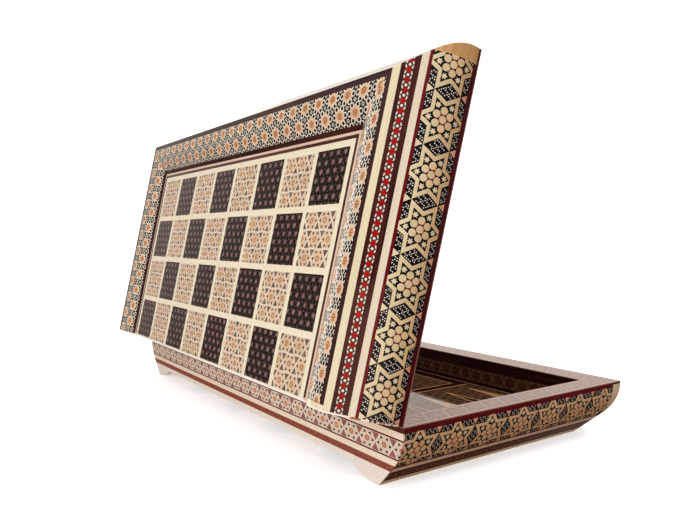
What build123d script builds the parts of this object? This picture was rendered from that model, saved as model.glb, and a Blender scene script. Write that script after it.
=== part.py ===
"""Folding inlaid chess and backgammon box, standing open as a tray with its lid raised.

Each half is drawn in one frame: X along the hinge, Y from the hinge line towards the
front, Z up from the table. The two halves are alike, so the lid's pieces are the lower
half's pieces turned about the hinge. All lengths are in millimetres.
"""
from build123d import *
import os
from math import asin, atan2, cos, degrees, hypot, radians, sin, sqrt

# Chess field
square = 41.0
grid_strip = 5.0
columns = 8
rows = 4
brown_line = 2.8
pale_line = 2.2

# Side mouldings
half_height = 48.1
border_width = 58.5
field_recess = 8.6
rim_strip = 4.5
bulge_radius = 39.0
peak_inset = 25.7
peak_strip = 4.8
inner_dark_strip = 3.2
red_line = 2.2
upper_cream = 4.8
upper_brown = 3.8
star_chain = 5.6
lower_brown = 2.8
lower_cream = 5.0

# Veneers and boards
skin = 1.2
rim_veneer = 0.8
side_lip = 1.8
long_rim = 27.0
well_depth = 28.0

# Hinge face, from the rim down
back_dark = 4.5
back_cream = 4.7
back_line = 1.2
back_rosettes = 13.1
back_lower_cream = 4.5
back_brown = 5.1

# Inside of the well
wall_top_strip = 12.0
wall_band = 12.5
well_line = 1.6
centre_half_length = 85.0
side_bar = 9.5
long_bar = 16.0
points = 6
point_length = 118.0
point_gap = 2.6

# Hinges
half_gap = 0.15
open_angle = 76.0
hinge_spacing = 300.0
hinge_length = 56.0
leaf_width = 17.0
leaf_thickness = 1.5
knuckle_radius = 2.6
pin_radius = 1.2
pin_head_radius = 1.9
pin_head = 0.6
running = 0.05
swing_clearance = 0.35
seat_clearance = 0.1
screw_radius = 1.5
screw_head_radius = 2.8
screw_length = 12.0
screw_point = 1.8
screw_slot = 0.7
screws_per_leaf = 3
screw_spacing = 18.0
screw_line = 11.0

# Sizes worked out from the ones above
pitch = square + grid_strip
field_half = (columns * pitch - grid_strip) / 2
field_far = rows * pitch - grid_strip / 2
margin = grid_strip + brown_line + pale_line
half_length = field_half + margin + border_width
width = field_far + margin + border_width
axis_height = half_height + half_gap
bulge_top = half_height - rim_strip
centre_run = bulge_radius - peak_inset
slope_angle = (
    degrees(atan2(bulge_top, centre_run) + asin(bulge_radius / hypot(bulge_top, centre_run))) - 90
)
slope_sin = sin(radians(slope_angle))
slope_cos = cos(radians(slope_angle))
bulge_in = bulge_radius * (1 - slope_cos)
bulge_foot = bulge_top - bulge_radius * slope_sin
band_end = bulge_in + skin * slope_cos
slope_length = bulge_foot / slope_cos
peak_in = peak_inset + peak_strip
border_run = border_width - peak_in
border_radius = (border_run**2 + field_recess**2) / (2 * field_recess)
bed = field_recess + skin
peak_corner = (peak_inset + skin * slope_cos / (1 + slope_sin), skin)
well_floor = half_height - well_depth
board_top = well_floor - skin
core_top = half_height - rim_veneer
side_core = peak_corner[0] - (bed - skin) * slope_sin / slope_cos + side_lip
side_rim = side_core + skin
long_core = long_rim - skin
back_core = half_gap + skin
well_half = half_length - side_rim
well_near = long_rim
well_far = width - long_rim
relief_radius = knuckle_radius + swing_clearance
knuckle_length = hinge_length / 3
hinge_places = (-hinge_spacing / 2, hinge_spacing / 2)
lid_reach = axis_height * sin(radians(open_angle)) - half_gap * cos(radians(open_angle))
footprint_middle = (width - lid_reach) / 2

# Where the two halves stand
base_place = Location((0, -footprint_middle, 0))
hinge_place = Location((0, -footprint_middle, axis_height))
lid_place = (
    hinge_place
    * Location((0, 0, 0), (open_angle - 180, 0, 0))
    * Location((0, 0, 0), (0, 0, 180))
    * Location((0, 0, -axis_height))
)
halves = {"base": base_place, "lid": lid_place}

# The three moulded sides, each as a plane across the moulding: local X points inwards and
# local Y up, with the run along local Z between the two stations given.
sides = {
    "right": (Plane((half_length, 0, 0), (-1, 0, 0), (0, 1, 0)), back_core, width),
    "front": (Plane((0, width, 0), (0, -1, 0), (-1, 0, 0)), -half_length, half_length),
    "left": (Plane((-half_length, 0, 0), (1, 0, 0), (0, -1, 0)), -width, -back_core),
}
right_mitre = Plane((half_length, width, 0), (0, 0, 1), (1, -1, 0))
left_mitre = Plane((-half_length, width, 0), (0, 0, 1), (-1, -1, 0))
mitres = {
    "right": [(right_mitre, Keep.TOP)],
    "front": [(right_mitre, Keep.BOTTOM), (left_mitre, Keep.BOTTOM)],
    "left": [(left_mitre, Keep.TOP)],
}

os.makedirs("parts", exist_ok=True)


def write(solids, name, half, place):
    """Write one node of one half, with every solid kept apart from its neighbours."""
    moved = [solid.moved(place) for solid in solids]
    node = moved[0] if len(moved) == 1 else Compound(children=moved)
    node.label = f"{half}_{name}"
    export_step(node, f"parts/{node.label}.step")


def write_both(parts, name):
    """Write a node for the lower half and its twin for the lid."""
    solids = [solid for part in parts for solid in part.solids()]
    for half, place in halves.items():
        write(solids, name, half, place)


def arc_point(centre, radius, angle):
    """A point on a circle, with the angle in degrees from local X."""
    return (centre[0] + radius * cos(radians(angle)), centre[1] + radius * sin(radians(angle)))


def bulge_arc(depth):
    """The swelling of the moulding, seen depth below its face."""
    return CenterArc((bulge_radius, bulge_top), bulge_radius - depth, 180, slope_angle)


def border_rise(inset, depth=0.0):
    """Height of the border's hollow-backed curve at an inset, depth behind its face."""
    return border_radius - sqrt((border_radius - depth) ** 2 - (inset - peak_in) ** 2)


def border_inset(rise, depth):
    """Inset at which that curve reaches a height."""
    return peak_in + sqrt((border_radius - depth) ** 2 - (border_radius - rise) ** 2)


def slope_point(distance, depth):
    """A point on the straight part of the moulding, measured down from the swelling."""
    return (
        bulge_in + distance * slope_sin + depth * slope_cos,
        bulge_foot - distance * slope_cos + depth * slope_sin,
    )


bed_inset = border_inset(bed, skin)


def polygon_section(*corners):
    """A flat section from its corners."""
    with BuildSketch() as section:
        with BuildLine():
            Polyline(*corners, close=True)
        make_face()
    return section.sketch


def rim_section():
    """Upright strip under the rim."""
    return polygon_section((0, bulge_top), (skin, bulge_top), (skin, core_top), (0, core_top))


def bulge_section():
    """Curved skin of the wide band."""
    with BuildSketch() as section:
        with BuildLine():
            face = bulge_arc(0)
            back = bulge_arc(skin)
            Line(face @ 0, back @ 0)
            Line(face @ 1, back @ 1)
        make_face()
    return section.sketch


def slope_section(start, stop):
    """Flat strip on the straight part of the moulding."""
    at_peak = abs(stop - slope_length) < running
    last = peak_corner if at_peak else slope_point(stop, skin)
    return polygon_section(
        slope_point(start, 0), slope_point(stop, 0), last, slope_point(start, skin)
    )


def peak_section():
    """Flat strip that the box stands on."""
    return polygon_section((peak_inset, 0), (peak_in, 0), (peak_in, skin), peak_corner)


def border_section(start, stop):
    """Part of the curved border between two insets."""
    at_bed = stop >= border_width
    with BuildSketch() as section:
        with BuildLine():
            face_start = (start, border_rise(start))
            face_stop = (stop, border_rise(stop))
            back_start = (start, border_rise(start, skin))
            back_stop = (bed_inset, bed) if at_bed else (stop, border_rise(stop, skin))
            RadiusArc(face_start, face_stop, -border_radius)
            RadiusArc(back_start, back_stop, -(border_radius - skin))
            Line(back_start, face_start)
            if at_bed:
                Polyline(face_stop, (stop, bed), back_stop)
            else:
                Line(face_stop, back_stop)
        make_face()
    return section.sketch


def core_section():
    """Wooden core of a moulding behind all of its skins."""
    with BuildSketch() as section:
        with BuildLine():
            curve = bulge_arc(skin)
            Polyline((side_core, bed), (side_core, core_top), (skin, core_top), curve @ 0)
            Polyline(curve @ 1, peak_corner, (peak_in, skin))
            RadiusArc((peak_in, skin), (bed_inset, bed), -(border_radius - skin))
            Line((bed_inset, bed), (side_core, bed))
        make_face()
    return section.sketch


def run(section, side, start_cut=0.0, end_cut=0.0, mitred=True):
    """One section run along a side, with its ends cut back or mitred."""
    plane, low, high = sides[side]
    with BuildPart() as piece:
        with BuildSketch(plane.offset(low + start_cut)):
            add(section)
        extrude(amount=high - low - start_cut - end_cut)
        if mitred:
            for cut, keep in mitres[side]:
                split(bisect_by=cut, keep=keep)
    return piece.part


def round_sides(section):
    """One section run round the three moulded sides with mitred corners."""
    return [run(section, side) for side in sides]


def square_ended(section):
    """One section run along the three sides, cut square short of the front corners."""
    return [
        run(section, "right", end_cut=band_end, mitred=False),
        run(section, "front", start_cut=band_end, end_cut=band_end, mitred=False),
        run(section, "left", start_cut=band_end, mitred=False),
    ]


def corner_ends(section):
    """The short mitred lengths that fill the two front corners."""
    reach_side = width - back_core - band_end
    reach_front = 2 * half_length - band_end
    return [
        run(section, "right", start_cut=reach_side),
        run(section, "front", start_cut=reach_front),
        run(section, "front", end_cut=reach_front),
        run(section, "left", end_cut=reach_side),
    ]


def tile(x_low, x_high, y_low, y_high, bottom, thickness):
    """One flat rectangular piece."""
    with BuildPart() as piece:
        with BuildSketch(Plane.XY.offset(bottom)):
            with Locations(((x_low + x_high) / 2, (y_low + y_high) / 2)):
                Rectangle(x_high - x_low, y_high - y_low)
        extrude(amount=thickness)
    return piece.part


def seat_hinges():
    """Cut the leaf seats and the room for the barrels from the piece being built."""
    seat_length = hinge_length + 2 * seat_clearance
    relief_length = hinge_length + 2 * (pin_head + swing_clearance)
    for x in hinge_places:
        with Locations((x, 0, axis_height)):
            Cylinder(relief_radius, relief_length, rotation=(0, 90, 0), mode=Mode.SUBTRACT)
        with Locations((x, 0, half_height)):
            Box(
                seat_length,
                2 * (leaf_width + seat_clearance),
                2 * leaf_thickness,
                mode=Mode.SUBTRACT,
            )


def screw_places():
    """Screw positions along the hinge, on the leaf's screw line."""
    offsets = [(i - (screws_per_leaf - 1) / 2) * screw_spacing for i in range(screws_per_leaf)]
    return [(x + offset, screw_line) for x in hinge_places for offset in offsets]


# Rails
left_rail = run(core_section(), "left")
right_rail = run(core_section(), "right")

with BuildPart() as front_rail:
    add(run(core_section(), "front"))
    with BuildSketch(Plane.XY.offset(board_top)):
        with Locations((0, width - (side_core + long_core) / 2)):
            Rectangle(2 * (half_length - side_core), long_core - side_core)
    extrude(amount=core_top - board_top)

with BuildPart() as hinge_rail:
    with BuildSketch(Plane.XY.offset(board_top)):
        with Locations((0, (back_core + long_core) / 2)):
            Rectangle(2 * (half_length - side_core), long_core - back_core)
    extrude(amount=core_top - board_top)
    seat_hinges()
    with Locations(*[(x, y, half_height - leaf_thickness) for x, y in screw_places()]):
        Cylinder(
            screw_radius + running,
            2 * (screw_length + running),
            mode=Mode.SUBTRACT,
        )

write_both([left_rail], "left_rail")
write_both([right_rail], "right_rail")
write_both([front_rail.part], "front_rail")
write_both([hinge_rail.part], "hinge_rail")

# Board between the chess field and the well
board_half = half_length - side_core
write_both(
    [tile(-board_half, board_half, back_core, width - side_core, bed, board_top - bed)], "board"
)

# Chess field on the outside of the half
square_places = [
    (column, row, (column - (columns - 1) / 2) * pitch, row * pitch + pitch / 2)
    for column in range(columns)
    for row in range(rows)
]
for name, odd in (("light_squares", 0), ("dark_squares", 1)):
    tiles = [
        tile(x - square / 2, x + square / 2, y - square / 2, y + square / 2, field_recess, skin)
        for column, row, x, y in square_places
        if (column + row) % 2 == odd
    ]
    write_both(tiles, name)

lattice_half = field_half + grid_strip
lattice_far = field_far + grid_strip
with BuildPart() as chess_lattice:
    with BuildSketch(Plane.XY.offset(field_recess)):
        with Locations((0, (back_core + lattice_far) / 2)):
            Rectangle(2 * lattice_half, lattice_far - back_core)
        with Locations(*[(x, y) for column, row, x, y in square_places]):
            Rectangle(square, square, mode=Mode.SUBTRACT)
    extrude(amount=skin)
write_both([chess_lattice.part], "chess_lattice")


def field_frame(inner, outer, far_inner, far_outer):
    """Two side lines and the line across the far side of the chess field."""
    return [
        tile(-outer, -inner, back_core, far_outer, field_recess, skin),
        tile(inner, outer, back_core, far_outer, field_recess, skin),
        tile(-inner, inner, far_inner, far_outer, field_recess, skin),
    ]


brown_half = lattice_half + brown_line
brown_far = lattice_far + brown_line
write_both(
    field_frame(lattice_half, brown_half, lattice_far, brown_far)
    + field_frame(brown_half, brown_half + pale_line, brown_far, brown_far + pale_line),
    "field_lines",
)

# Raised border round three sides of the chess field
dark_start = border_width - inner_dark_strip
write_both(round_sides(border_section(peak_in, dark_start)), "border_bands")
write_both(
    round_sides(peak_section()) + round_sides(border_section(dark_start, border_width)),
    "border_edge_strips",
)

# Strips that share the straight part of the mouldings, from the swelling down to the peak
slope_strips = (red_line, upper_cream, upper_brown, star_chain, lower_brown, lower_cream)
stops = [0.0]
for strip_width in slope_strips:
    stops.append(stops[-1] + strip_width * slope_length / sum(slope_strips))
red_strip, cream_high, brown_high, chain_strip, brown_low, cream_low = [
    round_sides(slope_section(start, stop)) for start, stop in zip(stops, stops[1:])
]
write_both(cream_high + cream_low, "cream_strips")
write_both(brown_high + brown_low, "brown_strips")
write_both(chain_strip, "star_chain_strips")

# Wide star bands and the plain pieces at their corners
write_both(square_ended(bulge_section()), "star_bands")
write_both(corner_ends(bulge_section()) + corner_ends(rim_section()), "corner_fillers")

# Veneers on the rim, mitred from the outer to the inner corners
rim_outer = [
    (-half_length, half_gap), (half_length, half_gap), (half_length, width), (-half_length, width)
]
rim_inner = [
    (-well_half, well_near), (well_half, well_near), (well_half, well_far), (-well_half, well_far)
]
rim_veneers = []
for index in range(4):
    following = (index + 1) % 4
    with BuildPart() as rim_piece:
        with BuildSketch(Plane.XY.offset(core_top)):
            with BuildLine():
                Polyline(
                    rim_outer[index],
                    rim_outer[following],
                    rim_inner[following],
                    rim_inner[index],
                    close=True,
                )
            make_face()
        extrude(amount=rim_veneer)
        if index == 0:
            seat_hinges()
    rim_veneers.append(rim_piece.part)
write_both(rim_veneers, "rim_veneers")


# Hinge face: flat strips that also cover the ends of the side mouldings
def end_outline():
    """Outline of the half seen from the hinge side, up to the underside of the rim veneer."""
    with BuildSketch() as outline:
        for turn in (1, -1):
            with BuildLine():
                curve = CenterArc(
                    (turn * (half_length - bulge_radius), bulge_top),
                    bulge_radius,
                    -slope_angle if turn > 0 else 180,
                    slope_angle,
                )
                high, low = (curve @ 1, curve @ 0) if turn > 0 else (curve @ 0, curve @ 1)
                top = turn * half_length
                Polyline(high, (top, core_top), (0, core_top), (0, field_recess))
                Polyline((0, field_recess), (turn * (half_length - border_width), field_recess))
                border_end = (turn * (half_length - border_width), field_recess)
                peak_end = (turn * (half_length - peak_in), 0)
                RadiusArc(peak_end, border_end, turn * border_radius)
                Polyline(peak_end, (turn * (half_length - peak_inset), 0), low)
            make_face()
    return outline.sketch


def back_strip(high, low):
    """One strip of the hinge face between two heights."""
    with BuildPart() as strip:
        with BuildSketch(Plane((0, back_core, 0), (1, 0, 0), (0, -1, 0))):
            add(end_outline())
            with Locations((0, (high + low) / 2)):
                Rectangle(3 * half_length, high - low, mode=Mode.INTERSECT)
        extrude(amount=skin)
        seat_hinges()
    return strip.part


back_levels = [core_top, half_height - back_dark]
for strip_height in (back_cream, back_line, back_rosettes, back_line, back_lower_cream, back_brown):
    back_levels.append(back_levels[-1] - strip_height)
back_levels.append(0.0)
dark_top, cream_top, line_top, rosettes, line_low, cream_mid, brown_face, cream_foot = [
    back_strip(high, low) for high, low in zip(back_levels, back_levels[1:])
]
write_both([cream_top, cream_mid, cream_foot], "back_cream_strips")
write_both([dark_top, brown_face], "back_brown_strips")
write_both([rosettes], "back_rosette_band")

# Wine-red lines: under the rim, under the star bands and on the hinge face
write_both(square_ended(rim_section()) + red_strip + [line_top, line_low], "wine_strips")


# Walls of the well
def wall_skins(bottom, top):
    """Veneer on the four inner walls between two heights."""
    end = half_length - side_core
    height = top - bottom
    return [
        tile(-end, end, long_core, long_rim, bottom, height),
        tile(-end, end, width - long_rim, width - long_core, bottom, height),
        tile(-end, -well_half, well_near, well_far, bottom, height),
        tile(well_half, end, well_near, well_far, bottom, height),
    ]


band_top = half_height - wall_top_strip
band_bottom = band_top - wall_band
write_both(wall_skins(band_bottom, band_top), "wall_bands")

# Floor of the well: centre panel, bars and the two fields of points
ground_half = well_half - well_line
ground_near = well_near + well_line
ground_far = well_far - well_line
divider = centre_half_length + well_line + side_bar
centre_near = ground_near + long_bar
centre_far = ground_far - long_bar


def frame_tile(outer, inner):
    """A flat frame between two rectangles, each given as half length, near and far."""
    with BuildPart() as frame:
        with BuildSketch(Plane.XY.offset(board_top)):
            for (half, near, far), mode in ((outer, Mode.ADD), (inner, Mode.SUBTRACT)):
                with Locations((0, (near + far) / 2)):
                    Rectangle(2 * half, far - near, mode=mode)
        extrude(amount=skin)
    return frame.part


line_half = centre_half_length + well_line
line_near = centre_near - well_line
line_far = centre_far + well_line
well_lines = [
    frame_tile((well_half, well_near, well_far), (ground_half, ground_near, ground_far)),
    frame_tile(
        (line_half, line_near, line_far), (centre_half_length, centre_near, centre_far)
    ),
    tile(-divider - well_line, -divider, ground_near, ground_far, board_top, skin),
    tile(divider, divider + well_line, ground_near, ground_far, board_top, skin),
]
write_both(well_lines, "well_lines")
well_bar = frame_tile((divider, ground_near, ground_far), (line_half, line_near, line_far))
write_both(
    wall_skins(band_top, core_top) + wall_skins(board_top, band_bottom) + [well_bar],
    "well_dark_strips",
)

point_pitch = (ground_far - ground_near) / points
point_base = point_pitch - point_gap


def point_corners(index, turn):
    """Corners of one long point, with its base at a short wall and its tip inwards."""
    middle = ground_near + (index + 0.5) * point_pitch
    base = turn * ground_half
    tip = turn * (ground_half - point_length)
    return [(base, middle - point_base / 2), (base, middle + point_base / 2), (tip, middle)]


def point_tile(index, turn):
    """One long point of the backgammon field."""
    with BuildPart() as piece:
        with BuildSketch(Plane.XY.offset(board_top)):
            with BuildLine():
                Polyline(*point_corners(index, turn), close=True)
            make_face()
        extrude(amount=skin)
    return piece.part


def point_ground(turn):
    """Ground between the points on one side of the well."""
    near_edge = turn * (divider + well_line)
    far_edge = turn * ground_half
    with BuildPart() as ground:
        with BuildSketch(Plane.XY.offset(board_top)):
            with Locations(((near_edge + far_edge) / 2, (ground_near + ground_far) / 2)):
                Rectangle(abs(far_edge - near_edge), ground_far - ground_near)
            for index in range(points):
                with BuildLine():
                    Polyline(*point_corners(index, turn), close=True)
                make_face(mode=Mode.SUBTRACT)
        extrude(amount=skin)
    return ground.part


centre_panel = tile(
    -centre_half_length, centre_half_length, centre_near, centre_far, board_top, skin
)
write_both([centre_panel, point_ground(-1), point_ground(1)], "well_panels")
for name, odd in (("light_points", 0), ("dark_points", 1)):
    chosen = [
        point_tile(index, turn)
        for turn in (-1, 1)
        for index in range(points)
        if (index + (turn > 0)) % 2 == odd
    ]
    write_both(chosen, name)


# Brass hinges
def leaf(x, own_knuckles):
    """One hinge leaf, let in flush with the rim, with its knuckles on the hinge line."""
    starts = [x - hinge_length / 2 + index * knuckle_length for index in range(3)]
    with BuildPart() as plate:
        with BuildSketch(Plane.XY.offset(half_height - leaf_thickness)):
            with Locations((x, (relief_radius + leaf_width) / 2)):
                Rectangle(hinge_length, leaf_width - relief_radius)
            for index in own_knuckles:
                middle = starts[index] + knuckle_length / 2
                with Locations((middle, relief_radius / 2)):
                    Rectangle(knuckle_length - 2 * running, relief_radius)
        extrude(amount=leaf_thickness)
        for index in own_knuckles:
            middle = starts[index] + knuckle_length / 2
            with Locations((middle, 0, axis_height)):
                Cylinder(knuckle_radius, knuckle_length - 2 * running, rotation=(0, 90, 0))
        with Locations((x, 0, axis_height)):
            Cylinder(
                pin_radius + running,
                hinge_length + 2 * running,
                rotation=(0, 90, 0),
                mode=Mode.SUBTRACT,
            )
        for screw_x, screw_y in screw_places():
            if abs(screw_x - x) < hinge_length / 2:
                with Locations((screw_x, screw_y, half_height)):
                    CounterSinkHole(screw_radius + running, screw_head_radius + running)
    return plate.part


def pin(x):
    """Hinge pin with a small head at each end."""
    with BuildPart() as rod:
        with Locations((x, 0, axis_height)):
            Cylinder(pin_radius, hinge_length, rotation=(0, 90, 0))
        for end in (-1, 1):
            with Locations((x + end * (hinge_length + pin_head) / 2, 0, axis_height)):
                Cylinder(pin_head_radius, pin_head, rotation=(0, 90, 0))
    return rod.part


def screw(x, y):
    """Slotted countersunk wood screw, flush with the leaf."""
    head_depth = screw_head_radius - screw_radius
    with BuildPart() as body:
        with BuildSketch(Plane((x, y, half_height), (1, 0, 0), (0, -1, 0))):
            with BuildLine():
                Polyline(
                    (0, 0),
                    (screw_head_radius, 0),
                    (screw_radius, -head_depth),
                    (screw_radius, screw_point - screw_length),
                    (0, -screw_length),
                    close=True,
                )
            make_face()
        revolve(axis=Axis((x, y, 0), (0, 0, 1)))
        with Locations((x, y, half_height)):
            Box(
                2 * screw_head_radius,
                screw_slot,
                screw_slot,
                mode=Mode.SUBTRACT,
            )
    return body.part


base_leaves = [leaf(x, (0, 2)) for x in hinge_places]
lid_leaves = [leaf(x, (1,)) for x in hinge_places]
write(base_leaves, "hinge_leaves", "base", base_place)
write(lid_leaves, "hinge_leaves", "lid", lid_place)
write([pin(x) for x in hinge_places], "hinge_pins", "base", base_place)
for half, place in halves.items():
    write([screw(x, y) for x, y in screw_places()], "hinge_screws", half, place)
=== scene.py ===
"""Folding inlaid chess and backgammon box: the looks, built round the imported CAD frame."""
import math
import random

import bpy
from mathutils import Matrix, Vector
from mathutils.geometry import delaunay_2d_cdt


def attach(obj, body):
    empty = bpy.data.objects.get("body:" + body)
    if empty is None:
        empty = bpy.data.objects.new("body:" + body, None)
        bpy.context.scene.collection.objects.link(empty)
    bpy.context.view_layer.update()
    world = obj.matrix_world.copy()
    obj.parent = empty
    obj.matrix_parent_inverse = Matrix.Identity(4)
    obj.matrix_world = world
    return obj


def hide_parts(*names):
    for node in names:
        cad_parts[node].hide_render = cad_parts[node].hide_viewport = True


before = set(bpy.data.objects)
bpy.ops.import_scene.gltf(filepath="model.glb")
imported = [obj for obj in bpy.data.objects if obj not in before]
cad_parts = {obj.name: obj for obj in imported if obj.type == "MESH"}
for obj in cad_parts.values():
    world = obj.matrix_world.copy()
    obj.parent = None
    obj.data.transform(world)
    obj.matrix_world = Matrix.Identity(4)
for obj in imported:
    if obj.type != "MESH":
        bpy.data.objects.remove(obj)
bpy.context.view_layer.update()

MM = 0.001

# Sizes shared with the part's source, in millimetres
HALF_LENGTH = 250.0
WIDTH = 250.0
HALF_HEIGHT = 48.1
AXIS_HEIGHT = 48.25
OPEN_ANGLE = math.radians(76.0)
FACE_GAP = 0.15
SKIN = 1.2
SQUARE = 41.0
PITCH = 46.0
FIELD_RECESS = 8.6
BORDER_WIDTH = 58.5
BROWN_LINE = 2.8
RIM_STRIP = 4.5
BULGE_RADIUS = 39.0
PEAK_INSET = 25.7
PEAK_STRIP = 4.8
DARK_STRIP = 3.2
SLOPE_STRIPS = (2.2, 4.8, 3.8, 5.6, 2.8, 5.0)
RIM_VENEER = 0.8
SIDE_LIP = 1.8
LONG_RIM = 27.0
WELL_DEPTH = 28.0
WALL_TOP = 12.0
WALL_BAND = 12.5
WELL_LINE = 1.6
CENTRE_HALF = 85.0
SIDE_BAR = 9.5
LONG_BAR = 16.0
POINTS = 6
POINT_LENGTH = 118.0
POINT_GAP = 2.6
BACK_DARK, BACK_CREAM, BACK_LINE, BACK_ROSETTES = 4.5, 4.7, 1.2, 13.1

# Worked out from them
BULGE_TOP = HALF_HEIGHT - RIM_STRIP
CENTRE_RUN = BULGE_RADIUS - PEAK_INSET
SLOPE = (
    math.atan2(BULGE_TOP, CENTRE_RUN)
    + math.asin(BULGE_RADIUS / math.hypot(BULGE_TOP, CENTRE_RUN))
    - math.pi / 2
)
BULGE_IN = BULGE_RADIUS * (1 - math.cos(SLOPE))
BULGE_FOOT = BULGE_TOP - BULGE_RADIUS * math.sin(SLOPE)
BULGE_ARC = BULGE_RADIUS * SLOPE
SLOPE_LENGTH = BULGE_FOOT / math.cos(SLOPE)
BAND_END = BULGE_IN + SKIN * math.cos(SLOPE)
PEAK_IN = PEAK_INSET + PEAK_STRIP
BORDER_RUN = BORDER_WIDTH - PEAK_IN
BORDER_RADIUS = (BORDER_RUN**2 + FIELD_RECESS**2) / (2 * FIELD_RECESS)
BORDER_ARC = BORDER_RADIUS * math.asin((BORDER_RUN - DARK_STRIP) / BORDER_RADIUS)
BACK_CORE = FACE_GAP + SKIN
LID_REACH = AXIS_HEIGHT * math.sin(OPEN_ANGLE) - FACE_GAP * math.cos(OPEN_ANGLE)
MIDDLE = (WIDTH - LID_REACH) / 2
SIDE_RIM = (
    PEAK_INSET + SKIN * math.cos(SLOPE) / (1 + math.sin(SLOPE))
    - FIELD_RECESS * math.tan(SLOPE) + SIDE_LIP + SKIN
)
WELL_HALF = HALF_LENGTH - SIDE_RIM
WELL_NEAR, WELL_FAR = LONG_RIM, WIDTH - LONG_RIM
WELL_FLOOR = HALF_HEIGHT - WELL_DEPTH

# Where the halves stand: half frame in millimetres to row frame in metres
TO_METRES = Matrix.Scale(MM, 4)
PLACE = {
    "base": TO_METRES @ Matrix.Translation((0, -MIDDLE, 0)),
    "lid": TO_METRES
    @ Matrix.Translation((0, -MIDDLE, AXIS_HEIGHT))
    @ Matrix.Rotation(OPEN_ANGLE - math.pi, 4, "X")
    @ Matrix.Rotation(math.pi, 4, "Z")
    @ Matrix.Translation((0, 0, -AXIS_HEIGHT)),
}


def srgb(red, green, blue):
    """Linear colour of an 8-bit sRGB one."""
    def linear(value):
        value /= 255
        return value / 12.92 if value <= 0.04045 else ((value + 0.055) / 1.055) ** 2.4
    return (linear(red), linear(green), linear(blue), 1.0)


# ---------------------------------------------------------------- materials
# The lacquer, and the wood or bone under it. Scales are per metre, heights in metres
COAT_WEIGHT, COAT_ROUGHNESS, COAT_IOR = 0.85, 0.05, 1.48
BODY_ROUGHNESS = (0.36, 0.50)
WEAR_SCALE = 55.0
RIPPLE_SCALE, RIPPLE_HEIGHT, RIPPLE_STRENGTH = 160.0, 0.00012, 0.35


class Tree:
    """Short forms for building a tree of nodes."""

    def __init__(self, node_tree):
        self.nodes, self.links = node_tree.nodes, node_tree.links

    def put(self, socket, value):
        if isinstance(value, bpy.types.NodeSocket):
            self.links.new(value, socket)
        else:
            socket.default_value = value

    def make(self, kind, values):
        """A node of a kind, its sockets filled by number or name."""
        node = self.nodes.new(kind)
        for socket, value in values.items():
            self.put(node.inputs[socket], value)
        return node

    def math(self, operation, a, b=0.0, clamp=False):
        node = self.make("ShaderNodeMath", {0: a, 1: b})
        node.operation = operation
        node.use_clamp = clamp
        return node.outputs[0]

    def dot(self, vector, constants):
        node = self.make("ShaderNodeVectorMath", {0: vector, 1: constants})
        node.operation = "DOT_PRODUCT"
        return node.outputs["Value"]

    def scale(self, vector, factors):
        node = self.make("ShaderNodeVectorMath", {0: vector, 1: factors})
        node.operation = "MULTIPLY"
        return node.outputs[0]

    def combine(self, x, y, z):
        return self.make("ShaderNodeCombineXYZ", {0: x, 1: y, 2: z}).outputs[0]

    def place(self):
        return self.make("ShaderNodeTexCoord", {}).outputs["Object"]

    def noise(self, vector, scale, detail=2.0, roughness=0.5, distortion=0.0):
        return self.make("ShaderNodeTexNoise", {
            "Vector": vector, "Scale": scale, "Detail": detail, "Roughness": roughness,
            "Distortion": distortion,
        }).outputs[0]

    def fit(self, value, low, high, to_low, to_high):
        """The range from low to high laid on the one from to_low to to_high, and kept inside it."""
        values = {0: value, 1: low, 2: high, 3: to_low, 4: to_high}
        return self.make("ShaderNodeMapRange", values).outputs[0]

    def blend(self, factor, a, b):
        node = self.nodes.new("ShaderNodeMix")
        node.data_type = "RGBA"
        self.put(node.inputs[0], factor)
        self.put(node.inputs[6], a)
        self.put(node.inputs[7], b)
        return node.outputs[2]

    def brighten(self, colour, value):
        return self.make("ShaderNodeHueSaturation", {"Color": colour, "Value": value}).outputs[0]

    def attribute(self, name):
        node = self.nodes.new("ShaderNodeAttribute")
        node.attribute_name = name
        return node.outputs["Fac"]

    def bump(self, height, distance, strength):
        values = {"Strength": strength, "Distance": distance, "Height": height}
        return self.make("ShaderNodeBump", values).outputs[0]


class Surface(Tree):
    """A material with one shader, and the lacquer laid over it."""

    def __init__(self, name):
        self.material = bpy.data.materials.new(name)
        self.material.use_nodes = True
        super().__init__(self.material.node_tree)
        self.nodes.clear()
        self.shader = self.nodes.new("ShaderNodeBsdfPrincipled")
        out = self.nodes.new("ShaderNodeOutputMaterial")
        self.links.new(self.shader.outputs["BSDF"], out.inputs["Surface"])

    def give(self, socket, value):
        """A fixed value or a node's output for one of the shader's sockets."""
        self.put(self.shader.inputs[socket], value)

    def lacquer(self, place):
        """Clear lacquer: a glossy coat with a very slight unevenness, over wood with faint wipe marks."""
        wear = self.noise(place, WEAR_SCALE, 4.0, 0.6)
        self.give("Roughness", self.fit(wear, 0.3, 0.75, *BODY_ROUGHNESS))
        self.give("Specular IOR Level", 0.0)
        self.give("Coat Weight", COAT_WEIGHT)
        self.give("Coat Roughness", COAT_ROUGHNESS)
        self.give("Coat IOR", COAT_IOR)
        ripple = self.noise(place, RIPPLE_SCALE, 3.0, 0.55)
        self.give("Coat Normal", self.bump(ripple, RIPPLE_HEIGHT, RIPPLE_STRENGTH))


def local_place(tree, half):
    """Position in the half's own frame, in millimetres, as three sockets."""
    matrix = PLACE[half].inverted()
    place = tree.place()
    return [
        tree.math("ADD", tree.dot(place, tuple(matrix[row][:3])), matrix[row][3])
        for row in range(3)
    ]


RIM_SHADE_START, RIM_SHADE_END = 24.0, 4.0  # below the star band's top: where the painted shade towards the rim starts, and where it is full
CLOUD_SCALE, PORE_SCALE = 700.0, 2600.0


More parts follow.
